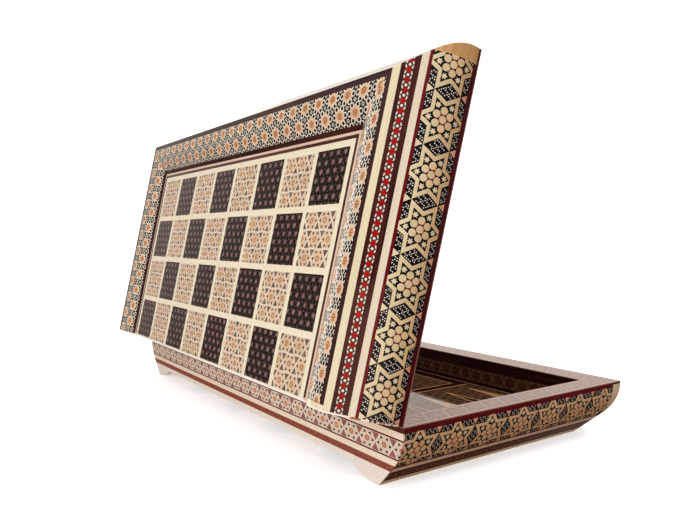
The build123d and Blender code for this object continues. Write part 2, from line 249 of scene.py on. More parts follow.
def inlay(name, colour, spread, mottle, pores=0.0, painted_rim_shade=None):
    """One substance of the mosaics: every rod has its own shade, with fine pores or fibres.

    spread is the range of the rods' shades, mottle the clouding within a rod and pores how dark its pores
    are. painted_rim_shade gives a half and the darker tan the substance turns to towards that half's rim, as
    painted shade.
    """
    tree = Surface(name)
    place = tree.place()
    shade = tree.attribute("tint")
    # painted shade: towards the half's rim the colour turns to a darker tan
    if painted_rim_shade:
        half, other = painted_rim_shade
        height = local_place(tree, half)[2]
        share = tree.fit(height, BULGE_TOP - RIM_SHADE_START, BULGE_TOP - RIM_SHADE_END, 0.0, 1.0)
        colour = tree.blend(share, colour, other)
    cloud = tree.noise(place, CLOUD_SCALE, 3.0, 0.6)
    value = tree.math("ADD", tree.fit(shade, 0, 1, 1 - spread, 1 + spread),
                      tree.fit(cloud, 0.3, 0.7, -mottle, mottle))
    base = tree.brighten(colour, value)
    if pores:
        speck = tree.noise(place, PORE_SCALE, 1.0, 0.4)
        amount = tree.fit(speck, 0.60, 0.72, 0.0, pores)
        base = tree.blend(amount, base, tree.brighten(colour, 0.45))
    tree.give("Base Color", base)
    tree.lacquer(place)
    return tree.material


RUN_SCALE, ACROSS_SCALE = 0.035, 1.1  # of the fibres, per millimetre
PORE_DEPTH, PORE_SHADE = 0.35, 0.55


def veneer(name, half, dark, light, grain, figure, edge=None):
    """Plain veneer whose grain runs along its strip, turning at the mitres.

    grain is how fine the fibres are, figure the strength of the broad streaks.
    edge gives a second colour and a test of the position that chooses it.
    """
    tree = Surface(f"{name}_{half}")
    x, y, z = local_place(tree, half)
    off_side = tree.math("SUBTRACT", HALF_LENGTH, tree.math("ABSOLUTE", x))
    off_front = tree.math("SUBTRACT", WIDTH, y)
    on_side = tree.math("LESS_THAN", off_side, off_front)
    across = tree.math("MINIMUM", off_side, off_front)
    along = tree.math(
        "ADD", tree.math("MULTIPLY", y, on_side),
        tree.math("MULTIPLY", x, tree.math("SUBTRACT", 1.0, on_side)),
    )
    fibres = tree.combine(
        tree.math("MULTIPLY", along, RUN_SCALE), tree.math("MULTIPLY", across, ACROSS_SCALE * grain),
        tree.math("MULTIPLY", z, ACROSS_SCALE * grain),
    )
    fine = tree.noise(fibres, 2.3, 4.0, 0.65, 0.3)
    broad = tree.noise(tree.scale(fibres, (0.5, 0.22, 0.22)), 1.0, 3.0, 0.5, 0.6)
    mix = tree.math("ADD", tree.fit(fine, 0.3, 0.7, -0.35, 0.35),
                    tree.fit(broad, 0.3, 0.7, 0.5 - figure, 0.5 + figure), clamp=True)
    base = tree.blend(mix, dark, light)
    pore = tree.noise(tree.scale(fibres, (1.6, 3.2, 3.2)), 3.0, 2.0, 0.5)
    base = tree.blend(tree.fit(pore, 0.62, 0.74, 0.0, PORE_DEPTH), base, tree.brighten(dark, PORE_SHADE))
    if edge:
        other, test = edge
        second = tree.brighten(other, tree.fit(mix, 0.0, 1.0, 0.86, 1.06))
        base = tree.blend(test(tree, x, y, z), base, second)
    tree.give("Base Color", base)
    tree.lacquer(tree.place())
    return tree.material


def left_end(reach):
    """Test that is 1 on the half's left side within a distance of the hinge line."""
    return lambda tree, x, y, z: tree.math(
        "MULTIPLY", tree.math("LESS_THAN", y, reach), tree.math("LESS_THAN", x, 0.0))


def higher_than(level):
    """Test that is 1 above a height in the half's own frame."""
    return lambda tree, x, y, z: tree.math("GREATER_THAN", z, level)


def lower_than(level):
    """Test that is 1 below a height in the half's own frame."""
    return lambda tree, x, y, z: tree.math("LESS_THAN", z, level)


LINE_END = 3.0  # pale end of the field's lines at the hinge


def outside_field(tree, x, y, z):
    """Test that is 1 on the pale line, beyond the brown one, and on both lines' pale ends."""
    brown_half = 4 * PITCH + (PITCH - SQUARE) / 2 + BROWN_LINE
    beyond = tree.math("MAXIMUM", tree.math("ABSOLUTE", x), y)
    return tree.math(
        "MAXIMUM", tree.math("GREATER_THAN", beyond, brown_half), tree.math("LESS_THAN", y, LINE_END))


def brass(name):
    """Drawn brass with fine scratches and a darker tarnish in places."""
    tree = Surface(name)
    place = tree.place()
    scratch = tree.noise(tree.scale(place, (40.0, 900.0, 900.0)), 3.0, 3.0, 0.6)
    tarnish = tree.noise(place, 180.0, 4.0, 0.6)
    base = tree.blend(tree.fit(tarnish, 0.45, 0.7, 0.0, 0.6), srgb(204, 174, 112), srgb(150, 120, 70))
    tree.give("Base Color", base)
    tree.give("Metallic", 1.0)
    tree.give("Roughness", tree.fit(scratch, 0.3, 0.7, 0.22, 0.42))
    tree.give("Normal", tree.bump(scratch, 0.00004, 0.5))
    return tree.material


def raw_wood(name):
    """Unlacquered core wood, seen only in the hinge seats."""
    tree = Surface(name)
    place = tree.place()
    rings = tree.noise(tree.scale(place, (30.0, 700.0, 700.0)), 1.5, 5.0, 0.6, 0.4)
    base = tree.blend(tree.fit(rings, 0.3, 0.7, 0, 1), srgb(150, 112, 72), srgb(196, 158, 110))
    tree.give("Base Color", base)
    tree.give("Roughness", 0.6)
    tree.give("Normal", tree.bump(rings, 0.00008, 0.4))
    return tree.material


# Substances of the mosaics
BONE = inlay("bone", srgb(230, 214, 178), 0.06, 0.06, 0.35)
WHITE = inlay("white_bone", srgb(234, 226, 210), 0.05, 0.05, 0.2)
SHELL = inlay("pale_bone", srgb(230, 210, 190), 0.05, 0.05, 0.2)
SAND = inlay("sand_wood", srgb(216, 188, 158), 0.07, 0.07, 0.25)
PEACH = inlay("peach_wood", srgb(212, 170, 130), 0.10, 0.08, 0.25)
PETAL = inlay("petal_wood", srgb(222, 187, 154), 0.08, 0.08, 0.25)
CORE = inlay("core_wood_rods", srgb(208, 156, 110), 0.12, 0.10, 0.3)
TAN = inlay("orange_wood", srgb(206, 154, 108), 0.13, 0.10, 0.3)
ORANGE = inlay("ginger_wood", srgb(118, 80, 50), 0.16, 0.14)
BROWN = inlay("walnut_rods", srgb(82, 60, 44), 0.25, 0.15)
RUST = inlay("rust_wood", srgb(92, 22, 16), 0.25, 0.15)
BRICK = inlay("brick_wood", srgb(150, 76, 66), 0.14, 0.12)
FAWN = inlay("fawn_wood", srgb(124, 84, 76), 0.14, 0.14, 0.4)
CLAY = inlay("clay_wood", srgb(150, 100, 90), 0.14, 0.14, 0.4)
SALMON = inlay("salmon_wood", srgb(230, 172, 136), 0.08, 0.08)
BLACK = inlay("ebony", srgb(12, 9, 11), 0.4, 0.3)
SOOT = inlay("brown_ebony", srgb(34, 15, 12), 0.4, 0.35)
GREEN = inlay("green_bone", srgb(42, 38, 28), 0.45, 0.3)
OLIVE = inlay("olive_rods", srgb(112, 98, 80), 0.34, 0.2, 0.4)
RED = inlay("red_bone", srgb(164, 10, 16), 0.16, 0.12)
ROSE = inlay("rose_rods", srgb(142, 98, 98), 0.35, 0.25)
LEAF = inlay("leaf_rods", srgb(38, 46, 32), 0.35, 0.25)
WINE = inlay("wine_rods", srgb(60, 20, 18), 0.35, 0.25)
RIM_GROUND = inlay("rim_rods", srgb(122, 84, 68), 0.08, 0.1, 0.2)
RIM_LINE_ROD = inlay("rim_line_rods", srgb(154, 114, 94), 0.07, 0.06, 0.1)
RIM_MARK = inlay("rim_mark_rods", srgb(94, 58, 46), 0.14, 0.1)
HONEY = inlay("honey_wood", srgb(172, 134, 92), 0.10, 0.12, 0.3)
OAK = inlay("oak_rods", srgb(134, 100, 70), 0.14, 0.12)
UMBER = inlay("umber_rods", srgb(66, 42, 26), 0.3, 0.25)
DISC = {
    "base": inlay("straw_wood_base", srgb(232, 194, 150), 0.06, 0.07, 0.3),
    # the lid's discs turn tan towards its rim: painted shade
    "lid": inlay("straw_wood_lid", srgb(228, 214, 174), 0.06, 0.07, 0.3, ("lid", srgb(222, 188, 140))),
}


# ---------------------------------------------------------------- mosaics
HALVES = ("base", "lid")
INSIDE_ONLY = 1  # Blender's number for triangles inside the polygons
JOIN_DISTANCE = 1e-4
SHARP_ANGLE = math.radians(25)


def ngon(x, y, radius, sides=6, turn=0.0, stretch=(1.0, 1.0)):
    """Corners of a regular polygon."""
    step = 2 * math.pi / sides
    return [
        (x + radius * stretch[0] * math.cos(turn + i * step),
         y + radius * stretch[1] * math.sin(turn + i * step))
        for i in range(sides)
    ]


def star(x, y, outer, inner, turn, stretch=(1.0, 1.0)):
    """Corners of a six-pointed star."""
    step = math.pi / 6
    return [
        (x + (outer, inner)[i % 2] * stretch[0] * math.cos(turn + i * step),
         y + (outer, inner)[i % 2] * stretch[1] * math.sin(turn + i * step))
        for i in range(12)
    ]


def upright(corners):
    """The same corners, counter-clockwise."""
    area = sum(
        a[0] * b[1] - b[0] * a[1] for a, b in zip(corners, corners[1:] + corners[:1])
    )
    return corners if area > 0 else corners[::-1]


def rectangle(x0, x1, y0, y1):
    return [(x0, y0), (x1, y0), (x1, y1), (x0, y1)]


def six(x, y, reach, squash, turn=0):
    """Six places round a point, and the direction of each."""
    for i in range(6):
        angle = math.radians(60 * i + turn)
        yield x + reach * math.cos(angle), y + reach * squash * math.sin(angle), angle


def shrink(corners, share):
    """A polygon drawn in towards its middle."""
    cx = sum(c[0] for c in corners) / len(corners)
    cy = sum(c[1] for c in corners) / len(corners)
    return [(cx + (x - cx) * share, cy + (y - cy) * share) for x, y in corners]


class Mosaic:
    """Flat mosaic: an outline, and shapes painted over it in order, each of one substance."""

    def __init__(self, outline, ground, seed):
        self.shapes = [(upright(outline), ground)]
        self.low, self.high = ([pick(values) for values in zip(*outline)] for pick in (min, max))
        self.random = random.Random(seed)
        self.lines = []

    def add(self, corners, substance):
        """One inlaid shape, left out where it is wholly beyond the outline's box."""
        for values, low, high in zip(zip(*corners), self.low, self.high):
            if max(values) <= low or min(values) >= high:
                return
        self.shapes.append((upright(corners), substance))

    def cut(self, level):
        """A line along the mosaic where the surface may bend."""
        self.lines.append(((self.low[0] - 1, level), (self.high[0] + 1, level)))

    def triangles(self):
        """Vertices, triangles, the substance of each triangle and its rod's shade."""
        points, edges, faces = [], [], []
        for corners, _ in self.shapes:
            first = len(points)
            points.extend(Vector(c) for c in corners)
            faces.append(list(range(first, len(points))))
        for start, end in self.lines:
            points.extend((Vector(start), Vector(end)))
            edges.append((len(points) - 2, len(points) - 1))
        made = delaunay_2d_cdt(points, edges, faces, INSIDE_ONLY, JOIN_DISTANCE, True)
        shades = [self.random.random() for _ in self.shapes]
        kept, substances, tints = [], [], []
        for corners, sources in zip(made[2], made[5]):
            if 0 in sources:
                top = max(s for s in sources if s < len(self.shapes))
                kept.append(tuple(corners))
                substances.append(self.shapes[top][1])
                tints.append(shades[top])
        return [tuple(v) for v in made[0]], kept, substances, tints


def slab(mosaics, depth=SKIN):
    """Closed solid pieces from (mosaic, mapping) pairs, as lists in the half's frame.

    A mapping turns (along, across, depth) into a point of the half's frame.
    """
    points, faces, substances, tints = [], [], [], []
    for mosaic, mapping in mosaics:
        flat, triangles, kinds, shades = mosaic.triangles()
        used = sorted({i for t in triangles for i in t})
        index = {old: new for new, old in enumerate(used)}
        base = len(points)
        points.extend(mapping(flat[i][0], flat[i][1], 0.0) for i in used)
        under = len(points)
        points.extend(mapping(flat[i][0], flat[i][1], depth) for i in used)
        a, b, c = (Vector(points[base + index[i]]) for i in triangles[0])
        inward = Vector(points[under + index[triangles[0][0]]]) - a
        flip = (b - a).cross(c - a).dot(inward) > 0
        sides = {}
        for triangle, kind, shade in zip(triangles, kinds, shades):
            loop = [index[i] for i in triangle]
            if flip:
                loop.reverse()
            faces.append([base + i for i in loop])
            faces.append([under + i for i in reversed(loop)])
            substances.extend((kind, kind))
            tints.extend((shade, shade))
            for i in range(3):
                key = (loop[i], loop[(i + 1) % 3])
                back = (key[1], key[0])
                if back in sides:
                    del sides[back]
                else:
                    sides[key] = (kind, shade)
        for (i, j), (kind, shade) in sides.items():
            faces.append([base + j, base + i, under + i, under + j])
            substances.append(kind)
            tints.append(shade)
    return points, faces, substances, tints


def piece(name, half, raw, node):
    """A mosaic piece of one half, standing for a CAD node."""
    points, faces, substances, tints = raw
    mesh = bpy.data.meshes.new(f"{half}_{name}")
    place = PLACE[half]
    mesh.from_pydata([place @ Vector(p) for p in points], [], faces)
    kinds = sorted({s.name for s in substances})
    for kind in kinds:
        mesh.materials.append(bpy.data.materials[kind])
    numbers = {kind: i for i, kind in enumerate(kinds)}
    mesh.polygons.foreach_set("material_index", [numbers[s.name] for s in substances])
    tint = mesh.attributes.new("tint", "FLOAT", "FACE")
    tint.data.foreach_set("value", tints)
    mesh.shade_smooth()
    mesh.set_sharp_from_angle(angle=SHARP_ANGLE)
    mesh.update()
    made = bpy.data.objects.new(f"{half}_{name}", mesh)
    bpy.context.scene.collection.objects.link(made)
    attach(made, half)
    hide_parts(f"{half}_{node}")


def both(name, mosaics, node, depth=SKIN):
    """The same mosaic piece on both halves."""
    raw = slab(mosaics, depth)
    for half in HALVES:
        piece(name, half, raw, node)


# Mappings of the moulded sides, from (along, distance down the section, depth)
def section_point(level, depth):
    """Inset and height at a distance down from the rim, depth behind the face."""
    if level <= RIM_STRIP:
        return depth, HALF_HEIGHT - level
    turn = (level - RIM_STRIP) / BULGE_RADIUS
    if turn <= SLOPE:
        reach = BULGE_RADIUS - depth
        return BULGE_RADIUS - reach * math.cos(turn), BULGE_TOP - reach * math.sin(turn)
    run = level - RIM_STRIP - BULGE_ARC
    return (
        BULGE_IN + run * math.sin(SLOPE) + depth * math.cos(SLOPE),
        BULGE_FOOT - run * math.cos(SLOPE) + depth * math.sin(SLOPE),
    )


def border_point(level, depth):
    """Inset and height at a distance along the border's curve from its peak."""
    turn = level / BORDER_RADIUS
    reach = BORDER_RADIUS - depth
    return PEAK_IN + reach * math.sin(turn), BORDER_RADIUS - reach * math.cos(turn)


def on_side(side, section):
    """Mapping onto one side of a half. section turns (level, depth) into inset and height."""
    def mapping(along, level, depth):
        inset, height = section(level, depth)
        if side == "hinge":
            return (along, inset, height)
        if side == "front":
            return (along, WIDTH - inset, height)
        turn = 1 if side == "right" else -1
        return (turn * (HALF_LENGTH - inset), along, height)
    return mapping


def mitred(side, section, levels):
    """Outline of a strip whose front ends are mitred."""
    insets = [(section(level, 0.0)[0], level) for level in levels]
    if side == "front":
        near = [(-HALF_LENGTH + inset, level) for inset, level in insets]
        far = [(HALF_LENGTH - inset, level) for inset, level in insets]
    else:
        near = [(BACK_CORE, levels[0]), (BACK_CORE, levels[-1])]
        far = [(WIDTH - inset, level) for inset, level in insets]
    return far + near[::-1]


SIDES = ("right", "front", "left")


def levels_between(low, high, count):
    return [low + (high - low) * i / count for i in range(count + 1)]


# Star bands. Large stars in a row, each with an outline, seven discs and six small stars
STAR_PITCH = 35.4
STAR_RISE = 9.35  # half the height of one of the star's two triangles, along the band's width
STAR_STRETCH = 1.09
STAR_LINE = 2.45
STAR_START = {"base": 14.8, "lid": 20.6}  # first star on the sides, from the hinge line
DISC_RADIUS, DISC_REACH, DISC_SQUASH = 2.55, 5.75, 0.93
HEART_RADIUS = 4.9
SMALL_STAR, SMALL_REACH, SMALL_STRETCH = (2.3, 1.2), 9.6, 1.03
JUNCTION_HALF = 3.0
DOT_RADIUS, DOT_PITCH, DOT_ROW = 0.47, 1.62, 0.87
DOT_MARGIN = 0.75


def in_star(x, y, rise):
    """Whether a point is in a hexagram with two points across the band."""
    x /= STAR_STRETCH
    root = math.sqrt(3)
    first = y >= -rise and abs(x) * root + y <= 2 * rise
    second = y <= rise and abs(x) * root - y <= 2 * rise
    return first or second


def star_band(mosaic, offset, middle, disc):
    """Large outlined stars with seven discs each, on ebony with bone dots."""
    low, high = mosaic.low, mosaic.high
    count = int((high[0] - low[0]) / STAR_PITCH) + 3
    first = math.floor((low[0] - offset) / STAR_PITCH) - 1
    centres = [offset + STAR_PITCH * (first + i) for i in range(count)]
    rows = int((high[1] - low[1]) / (DOT_PITCH * DOT_ROW)) + 1
    for row in range(rows):
        y = low[1] + DOT_MARGIN + row * DOT_PITCH * DOT_ROW
        for column in range(int((high[0] - low[0]) / DOT_PITCH) + 2):
            if (column - row) % 3 == 0:
                continue
            x = low[0] + (column + 0.5 * (row % 2)) * DOT_PITCH
            near = min(centres, key=lambda c: abs(c - x))
            if in_star(x - near, y - middle, STAR_RISE + DOT_MARGIN):
                continue
            across = abs(y - middle)
            junction = near + (STAR_PITCH / 2 if x > near else -STAR_PITCH / 2)
            spread = (JUNCTION_HALF + 0.4) * (across - STAR_RISE + 1) / (BULGE_ARC / 2 - STAR_RISE)
            if across > STAR_RISE - 0.5 and abs(x - junction) < spread:
                continue
            if y > high[1] - 0.5:
                continue
            mosaic.add(ngon(x, y, DOT_RADIUS, 6), WHITE)
    wide = (STAR_STRETCH, 1.0)
    for x in centres:
        junction = x + STAR_PITCH / 2
        for turn in (-1, 1):
            edge = middle + turn * (BULGE_ARC / 2 + 0.5)
            tip = middle + turn * (STAR_RISE + 0.4)
            corners = [(junction - JUNCTION_HALF, edge), (junction + JUNCTION_HALF, edge), (junction, tip)]
            mosaic.add(corners, SALMON if turn < 0 else BONE)
        for rise, substance in ((STAR_RISE, disc), (STAR_RISE - STAR_LINE, BLACK)):
            mosaic.add(star(x, middle, 2 * rise, 2 * rise / math.sqrt(3), math.pi / 2, wide), substance)
        mosaic.add(ngon(x, middle, HEART_RADIUS), RUST)
        for i in range(6):
            angle = math.radians(90 + 60 * i)
            sx = x + SMALL_REACH * SMALL_STRETCH * math.cos(angle)
            sy = middle + SMALL_REACH * math.sin(angle)
            mosaic.add(star(sx, sy, *SMALL_STAR, angle), BONE)
        mosaic.add(ngon(x, middle, DISC_RADIUS, 12), disc)
        for dx, dy, _ in six(x, middle, DISC_REACH, DISC_SQUASH, 60):
            mosaic.add(ngon(dx, dy, DISC_RADIUS, 12), disc)


BAND_LEVELS = levels_between(RIM_STRIP, RIM_STRIP + BULGE_ARC, 10)
BAND_MIDDLE = RIM_STRIP + BULGE_ARC / 2
for half in HALVES:
    bands = []
    for number, side in enumerate(SIDES):
        if side == "front":
            ends, start = (-HALF_LENGTH + BAND_END, HALF_LENGTH - BAND_END), 0.0
        else:
            ends, start = (BACK_CORE, WIDTH - BAND_END), STAR_START[half]
        mosaic = Mosaic(rectangle(*ends, BAND_LEVELS[0], BAND_LEVELS[-1]), BLACK, 11 + number)
        for level in BAND_LEVELS[1:-1]:
            mosaic.cut(level)
        star_band(mosaic, start, BAND_MIDDLE, DISC[half])
        bands.append((mosaic, on_side(side, section_point)))
    piece("star_inlay", half, slab(bands), "star_bands")

# Red star chain on the slope; on the base its red and white are darkened as painted shade
CHAIN_TOP = RIM_STRIP + BULGE_ARC + sum(SLOPE_STRIPS[:3]) * SLOPE_LENGTH / sum(SLOPE_STRIPS)
CHAIN_HIGH = CHAIN_TOP + SLOPE_STRIPS[3] * SLOPE_LENGTH / sum(SLOPE_STRIPS)
CHAIN_PITCH = 6.6
CHAIN_STAR, CHAIN_DOT = (2.55, 1.55), 0.95
DASH_PLACE, DASH_HALF, DASH_TILT = (1.4, 2.1), (0.95, 0.42), 0.22


def chain(mosaic, middle, bright, pale):
    """Row of stars with a dot between each two and four slanting dashes round the dot."""
    long, thick = DASH_HALF
    x = math.floor(mosaic.low[0] / CHAIN_PITCH) * CHAIN_PITCH - CHAIN_PITCH
    while x < mosaic.high[0] + CHAIN_PITCH:
        mosaic.add(star(x, middle, *CHAIN_STAR, math.pi / 6), bright)
        gap = x + CHAIN_PITCH / 2
        mosaic.add(ngon(gap, middle, CHAIN_DOT, 8), pale)
        for up in (-1, 1):
            for turn in (-1, 1):
                dx, dy = gap + turn * DASH_PLACE[0], middle + up * DASH_PLACE[1]
                tilt = -DASH_TILT * turn * up
                dash = ((-long, -thick - tilt), (long, -thick + tilt),
                        (long, thick + tilt), (-long, thick - tilt))
                mosaic.add([(dx + u, dy + v) for u, v in dash], pale)
        x += CHAIN_PITCH


# The base's chain is a darker copy of the lid's, rust and clay in place of red and white: painted shade.
for half, bright, pale in (("base", RUST, CLAY), ("lid", RED, WHITE)):
    chains = []
    for number, side in enumerate(SIDES):
        mosaic = Mosaic(mitred(side, section_point, (CHAIN_TOP, CHAIN_HIGH)), GREEN, 21 + number)
        chain(mosaic, (CHAIN_TOP + CHAIN_HIGH) / 2, bright, pale)
        chains.append((mosaic, on_side(side, section_point)))
    piece("star_chain_inlay", half, slab(chains), "star_chain_strips")


# Lattices of rosettes
def rosette_centres(mosaic, pitch, row, offset):
    """Staggered rosette centres covering a mosaic, with a margin all round."""
    low, high = mosaic.low, mosaic.high
    first = math.floor((low[1] - offset[1]) / row) - 1
    last = math.ceil((high[1] - offset[1]) / row) + 1
    for j in range(first, last + 1):
        shift = offset[0] + (pitch / 2 if j % 2 else 0.0)
        start = math.floor((low[0] - shift) / pitch) - 1
        stop = math.ceil((high[0] - shift) / pitch) + 1
        for i in range(start, stop + 1):
            yield shift + i * pitch, offset[1] + j * row


NET_PITCH = 17.8  # the pitch at which the sizes below hold
MARK_REACH, RING_REACH, RING_ROD = 5.9, 1.9, 0.7
HEXAGON_SHARE = 0.92


def net(mosaic, pitch, row, offset, field, gaps, heart, mark, ring=BROWN, single=False, block=0.68,
        core=3.6, marks=1.45):
    """Rosettes in a net of hexagons, with coloured triangles between the hexagons.

    field, gaps, heart, mark and ring are substances: of the hexagons, the triangles between them, the cores,
    the six marks round each and the ring of rods in it. block is how much of a gap its triangle fills, core
    and marks are radii, and single keeps one row only.
    """
    half, rise = pitch / 2, row / 2
    squash = rise / (half * math.sqrt(3) / 2)
    size = pitch / NET_PITCH
    for x, y in rosette_centres(mosaic, pitch, row, offset):
        if single and abs(y - offset[1]) > 1:
            continue
        hexagon = [
            (x + half, y), (x + half / 2, y + rise), (x - half / 2, y + rise),
            (x - half, y), (x - half / 2, y - rise), (x + half / 2, y - rise),
        ]
        mosaic.add(shrink(hexagon, HEXAGON_SHARE), field)
        for up in (-1, 1):
            triangle = [(x + half, y), (x + 1.5 * half, y + up * rise), (x + half / 2, y + up * rise)]
            mosaic.add(shrink(triangle, block), gaps)
        for mx, my, angle in six(x, y, MARK_REACH * size, squash):
            mosaic.add(ngon(mx, my, marks * size, 3, angle, (1.0, squash)), mark)
        mosaic.add(ngon(x, y, core * size, 12, math.pi / 6, (1.0, squash)), heart)
        for mx, my, angle in six(x, y, RING_REACH * size, squash):
            mosaic.add(ngon(mx, my, RING_ROD * size, 6, angle, (1.0, squash)), ring)


# Small stars of the dark squares: radii, and how far off the dots stand as a share of the pitch
STAR_SIZE, STAR_SQUASH, STAR_HEART, STAR_EYE = (3.0, 1.3), 0.92, 1.1, 0.42
BETWEEN_RADIUS, SPECK_RADIUS, SPECK_REACH = 3.6, 0.55, 0.55


def stars(mosaic, pitch, row, offset, body, heart, between, dot):
    """Small six-pointed stars set close together on a dark ground."""
    squash = row / (pitch * math.sqrt(3) / 2)
    reach = pitch * SPECK_REACH
    for x, y in rosette_centres(mosaic, pitch, row, offset):
        mosaic.add(ngon(x, y, BETWEEN_RADIUS, 6, 0.0, (1.0, squash)), between)
        for turn in (30, 90):
            angle = math.radians(turn)
            speck = (x + reach * math.cos(angle), y + reach * squash * math.sin(angle))
            mosaic.add(ngon(*speck, SPECK_RADIUS, 4), dot)
        mosaic.add(star(x, y, *STAR_SIZE, math.pi / 6, (1.0, STAR_SQUASH)), body)
        mosaic.add(ngon(x, y, STAR_HEART), heart)
        mosaic.add(ngon(x, y, STAR_EYE, 4), PEACH)


def flat(height):
    """Mapping onto a level face that looks down, at a height."""
    def mapping(x, y, depth):
        return (x, y, height + depth)
    return mapping


# Each square is cut from a larger sheet, so its pattern starts a little off its neighbours'
LIGHT_PITCH, LIGHT_START = (17.8, 14.0), (14.7, 6.2)
DARK_PITCH, DARK_START = (9.2, 6.4), (7.7, 5.9)
SLIP = (1.6, 1.0)
light, dark = [], []
for column in range(8):
    for row in range(4):
        x, y = (column - 3.5) * PITCH, row * PITCH + PITCH / 2
        outline = rectangle(x - SQUARE / 2, x + SQUARE / 2, y - SQUARE / 2, y + SQUARE / 2)
        number = column * 8 + row
        chooser = random.Random(100 + number)
        slip = [chooser.uniform(-most, most) for most in SLIP]
        pale = (column + row) % 2 == 0
        begin = LIGHT_START if pale else DARK_START
        offset = [low + first + shift for low, first, shift in zip(outline[0], begin, slip)]
        if pale:
            mosaic = Mosaic(outline, SHELL, 200 + number)
            net(mosaic, *LIGHT_PITCH, offset, SAND, OLIVE, PEACH, BROWN,
                ring=ORANGE, block=0.76, core=2.9, marks=1.8)
            light.append((mosaic, flat(FIELD_RECESS)))
        else:
            mosaic = Mosaic(outline, SOOT, 300 + number)
            stars(mosaic, *DARK_PITCH, offset, ROSE, FAWN, LEAF, OLIVE)
            dark.append((mosaic, flat(FIELD_RECESS)))
both("light_square_inlay", light, "light_squares")
both("dark_square_inlay", dark, "dark_squares")


# Border of two rows of flowers between two half rows
FLOWER_PITCH, FLOWER_ROWS, FLOWER_START = 18.7, (-8.3, 4.7, 17.7, 30.7), 14.65
FLOWER_SQUASH = 0.86
RING_RADIUS, FLOWER_STAR = 2.95, (6.4, 4.6)
DROP_REACH, DROP_RADIUS = 6.8, 1.7
CORE_RADIUS, EYE_RADIUS = 3.3, 0.8
SEED_REACH, SEED_RADIUS = 2.1, 0.72
BUTTON_REACH, BUTTON_RADII = 8.7, (1.65, 1.0)
CAP = 4.6  # pale end of the border, seen at one side only
BORDER_LEVELS = levels_between(0.0, BORDER_ARC, 8)


def flowers(mosaic, offset):
    """Staggered rows of six-petalled flowers, their petals ringed in white, cut by the band's edges."""
    flat_ring = (1.0, FLOWER_SQUASH)
    for j, y in enumerate(FLOWER_ROWS):
        x = offset + (FLOWER_PITCH / 2 if j % 2 else 0.0)
        x += math.floor((mosaic.low[0] - x) / FLOWER_PITCH) * FLOWER_PITCH
        while x < mosaic.high[0] + FLOWER_PITCH:
            for up in (-1, 1):
                for radius, substance in zip(BUTTON_RADII, (WHITE, OLIVE)):
                    mosaic.add(ngon(x, y + up * BUTTON_REACH, radius, 6, 0.0, flat_ring), substance)
            for px, py, angle in six(x, y, FLOWER_STAR[0], FLOWER_SQUASH):
                mosaic.add(ngon(px, py, RING_RADIUS, 6, angle, flat_ring), WHITE)
            mosaic.add(star(x, y, *FLOWER_STAR, math.pi / 6, flat_ring), PETAL)
            for px, py, angle in six(x, y, DROP_REACH, FLOWER_SQUASH):
                mosaic.add(ngon(px, py, DROP_RADIUS, 6, angle, flat_ring), GREEN)
            mosaic.add(ngon(x, y, CORE_RADIUS, 12, 0.0, flat_ring), CORE)
            for px, py, angle in six(x, y, SEED_REACH, FLOWER_SQUASH, 30):
                mosaic.add(ngon(px, py, SEED_RADIUS, 6, angle), ORANGE)
            mosaic.add(ngon(x, y, EYE_RADIUS), BRICK)
            x += FLOWER_PITCH


borders = []
for number, side in enumerate(SIDES):
    mosaic = Mosaic(mitred(side, border_point, BORDER_LEVELS), GREEN, 41 + number)
    for level in BORDER_LEVELS[1:-1]:
        mosaic.cut(level)
    flowers(mosaic, 0.0 if side == "front" else FLOWER_START)
    if side == "left":
        mosaic.add(rectangle(0, CAP, -1, BORDER_ARC + 1), BONE)
    borders.append((mosaic, on_side(side, border_point)))
both("border_inlay", borders, "border_bands")


# Hinge face band
def section_edge(height):
    """Inset of the moulding's outer face at a height."""
    if height >= BULGE_TOP:
        return 0.0
    if height >= BULGE_FOOT:
        return BULGE_RADIUS - math.sqrt(BULGE_RADIUS**2 - (BULGE_TOP - height) ** 2)
    return BULGE_IN + (BULGE_FOOT - height) * math.tan(SLOPE)


def on_back(x, level, depth):
    return (x, FACE_GAP + depth, HALF_HEIGHT - level)


BACK_PITCH = 19.15
band_low = BACK_DARK + BACK_CREAM + BACK_LINE
band_high = band_low + BACK_ROSETTES
back_levels = levels_between(band_low, band_high, 8)
reach = [(HALF_LENGTH - section_edge(HALF_HEIGHT - level), level) for level in back_levels]
mosaic = Mosaic([(-x, level) for x, level in reach] + reach[::-1], WHITE, 51)
net(mosaic, BACK_PITCH, BACK_ROSETTES, (0.0, (band_low + band_high) / 2), SHELL, CLAY, PEACH, GREEN,
    ring=BRICK, single=True, block=0.86, core=2.7, marks=1.8)
both("hinge_face_inlay", [(mosaic, on_back)], "back_rosette_band")

# Rim: rosettes between two edge lines, mitred at the corners, with the two hinges' seats and barrels cut out
def on_rim(quarter):
    """Mapping onto the rim, from the run and the distance in from the outer edge."""
    gap = FACE_GAP if quarter == "hinge" else 0.0
    return on_side(quarter, lambda inset, depth: (gap + inset, HALF_HEIGHT - depth))


